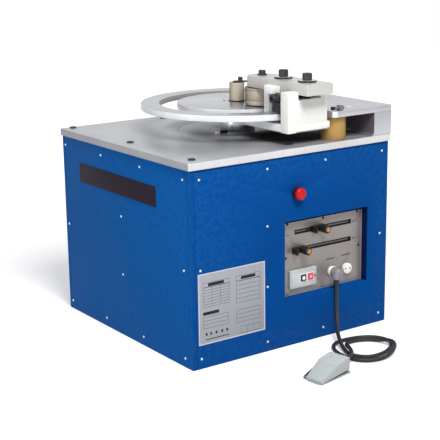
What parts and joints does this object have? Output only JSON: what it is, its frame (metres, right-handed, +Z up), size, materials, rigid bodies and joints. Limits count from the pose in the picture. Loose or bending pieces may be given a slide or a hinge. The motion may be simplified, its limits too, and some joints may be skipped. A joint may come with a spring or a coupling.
{
  "type": "rebar bending machine",
  "caption": "Floor-standing rebar bender: steel cabinet, table with a fixed ring, a swinging arm that straddles it with a bending roller, sliders for the angle, emergency stop and foot pedal.",
  "frame": {"origin": "middle of the cabinet's footprint, on the floor", "axes": "+X to the right along the control side, +Y to the back, +Z up"},
  "size_m": [0.812, 1.135, 0.8803],
  "materials": {
    "blue_paint": "satin",
    "table_steel": "ground",
    "cast_iron": "rough",
    "motor_paint": "satin",
    "ring_steel": "ground",
    "polished_steel": "polished",
    "arm_steel": "ground",
    "pale_paint": "satin",
    "black_steel": "blackened",
    "roller_steel": "turned",
    "brass": "polished",
    "dark_plate": "matt",
    "pale_plate": "satin",
    "control_metal": "brushed",
    "rail_metal": "brushed",
    "black_plastic": "matt",
    "cable_rubber": "ribbed",
    "switch_grey": "matt",
    "green_plastic": "gloss",
    "red_plastic": "gloss",
    "white_plastic": "gloss",
    "plug_grey": "matt",
    "pedal_paint": "satin"
  },
  "bodies": {
    "machine": {"base_plate": "blue_paint", "corner_post_front_left": "blue_paint", "corner_post_front_right": "blue_paint", "corner_post_rear_left": "blue_paint", "corner_post_rear_right": "blue_paint", "front_panel": "blue_paint", "rear_panel": "blue_paint", "left_panel": "blue_paint", "right_panel": "blue_paint", "table_plate": "table_steel", "bearing_housing": "table_steel", "gear_case": "cast_iron", "motor": "motor_paint", "ring_plate": "ring_steel", "riser_block": "ring_steel", "support_column": "brass", "stop_lug": "black_steel", "stop_bolt": "black_steel", "home_sensor": "black_plastic", "nameplate": "dark_plate", "rating_plate": "pale_plate", "recess_liner": "blue_paint", "control_plate": "control_metal", "slide_rail_upper": "rail_metal", "slide_rail_lower": "rail_metal", "switch_box": "switch_grey", "pilot_lamp": "red_plastic", "outlet_first": "white_plastic", "outlet_second": "white_plastic", "estop_collar": "black_plastic", "plug": "plug_grey", "strain_relief": "cable_rubber", "pedal_cable": "cable_rubber", "pedal_base": "pedal_paint", "pedal_hinge_pin": "table_steel", "pedal_gland": "black_plastic"},
    "arm": {"main_shaft": "polished_steel", "turn_disc": "ring_steel", "lower_arm": "arm_steel", "inner_post": "arm_steel", "outer_bracket": "pale_paint", "upper_arm": "arm_steel", "guide_block": "black_steel", "guide_screw": "black_steel", "arm_bolt_inner": "black_steel", "arm_bolt_outer": "black_steel", "roller_bolt": "black_steel", "centre_pin": "black_steel", "keeper_plate": "black_steel"},
    "middle_roller": {"centre_roller": "roller_steel"},
    "bend_roller": {"bending_roller": "roller_steel"},
    "estop_plunger": {"estop_stem": "black_plastic"},
    "estop_head": {"estop_cap": "red_plastic"},
    "start_button": {"green_button": "green_plastic"},
    "stop_button": {"red_button": "red_plastic"},
    "upper_slider": {"slider_upper": "black_plastic"},
    "upper_knob": {"knob_upper": "black_plastic"},
    "lower_slider": {"slider_lower": "black_plastic"},
    "lower_knob": {"knob_lower": "black_plastic"},
    "pedal": {"pedal_cover": "pedal_paint"}
  },
  "joints": [
    {"name": "arm_turn", "type": "hinge", "parent": "machine", "child": "arm", "pos_m": [0.064, -0.004, 0.655], "axis": [0, 0, -1], "range_deg": [0, 180]},
    {"name": "middle_roller_spin", "type": "hinge", "parent": "arm", "child": "middle_roller", "pos_m": [0.064, -0.004, 0.78], "axis": [0, 0, 1], "continuous": true},
    {"name": "bend_roller_spin", "type": "hinge", "parent": "arm", "child": "bend_roller", "pos_m": [0.078, -0.129, 0.78], "axis": [0, 0, 1], "continuous": true},
    {"name": "estop_push", "type": "slide", "parent": "machine", "child": "estop_plunger", "axis": [0, 1, 0], "range_m": [0, 0.005], "stiffness_N_per_m": 2000},
    {"name": "estop_twist", "type": "hinge", "parent": "estop_plunger", "child": "estop_head", "pos_m": [0.008, -0.43, 0.508], "axis": [0, 1, 0], "range_deg": [0, 30], "stiffness_Nm_per_rad": 0.3},
    {"name": "start_push", "type": "slide", "parent": "machine", "child": "start_button", "axis": [0, 1, 0], "range_m": [0, 0.003], "stiffness_N_per_m": 800},
    {"name": "stop_push", "type": "slide", "parent": "machine", "child": "stop_button", "axis": [0, 1, 0], "range_m": [0, 0.003], "stiffness_N_per_m": 800},
    {"name": "upper_slide", "type": "slide", "parent": "machine", "child": "upper_slider", "axis": [1, 0, 0], "range_m": [-0.093, 0.12]},
    {"name": "upper_knob_turn", "type": "hinge", "parent": "upper_slider", "child": "upper_knob", "pos_m": [0.129, -0.4, 0.37], "axis": [0, -1, 0], "range_deg": [0, 360]},
    {"name": "lower_slide", "type": "slide", "parent": "machine", "child": "lower_slider", "axis": [1, 0, 0], "range_m": [-0.013, 0.2]},
    {"name": "lower_knob_turn", "type": "hinge", "parent": "lower_slider", "child": "lower_knob", "pos_m": [0.049, -0.4, 0.31], "axis": [0, -1, 0], "range_deg": [0, 360]},
    {"name": "pedal_press", "type": "hinge", "parent": "machine", "child": "pedal", "pos_m": [-0.15756, -0.68899, 0.0068], "axis": [-0.19, 0.9818, 0], "range_deg": [0, 4.5], "stiffness_Nm_per_rad": 30, "springref_deg": -11.46}
  ]
}
